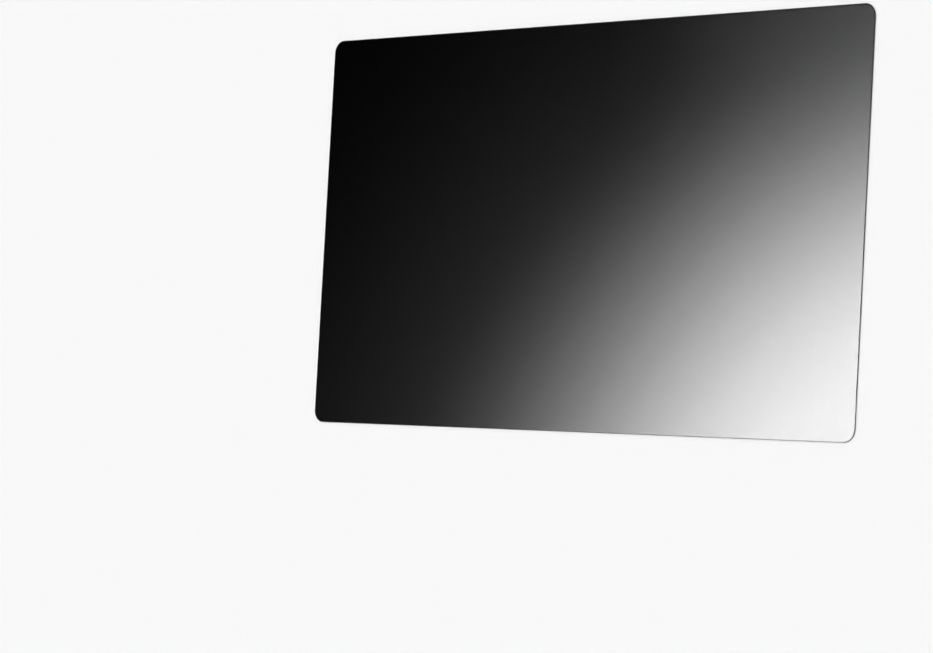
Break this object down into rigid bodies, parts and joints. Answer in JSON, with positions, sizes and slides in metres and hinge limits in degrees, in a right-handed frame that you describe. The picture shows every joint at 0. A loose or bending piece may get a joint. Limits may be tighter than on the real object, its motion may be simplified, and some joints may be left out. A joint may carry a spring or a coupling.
{
  "type": "laptop privacy filter",
  "caption": "Thin rectangular sheet of dark micro-louvre film with small rounded corners, laid over a laptop display to hide it from the side.",
  "frame": {"origin": "middle of the face that lies against the display, which is the underside of the sheet as it rests", "axes": "+X along the display's width, +Y up the display, +Z from the display to the viewer, so the viewer's face is up"},
  "size_m": [0.31, 0.1744, 0.0005],
  "materials": {
    "louvre_film": "smooth hard-coated film, clear with black micro-louvres inside"
  },
  "bodies": {
    "root": {"privacy_sheet": "louvre_film"}
  },
  "joints": []
}
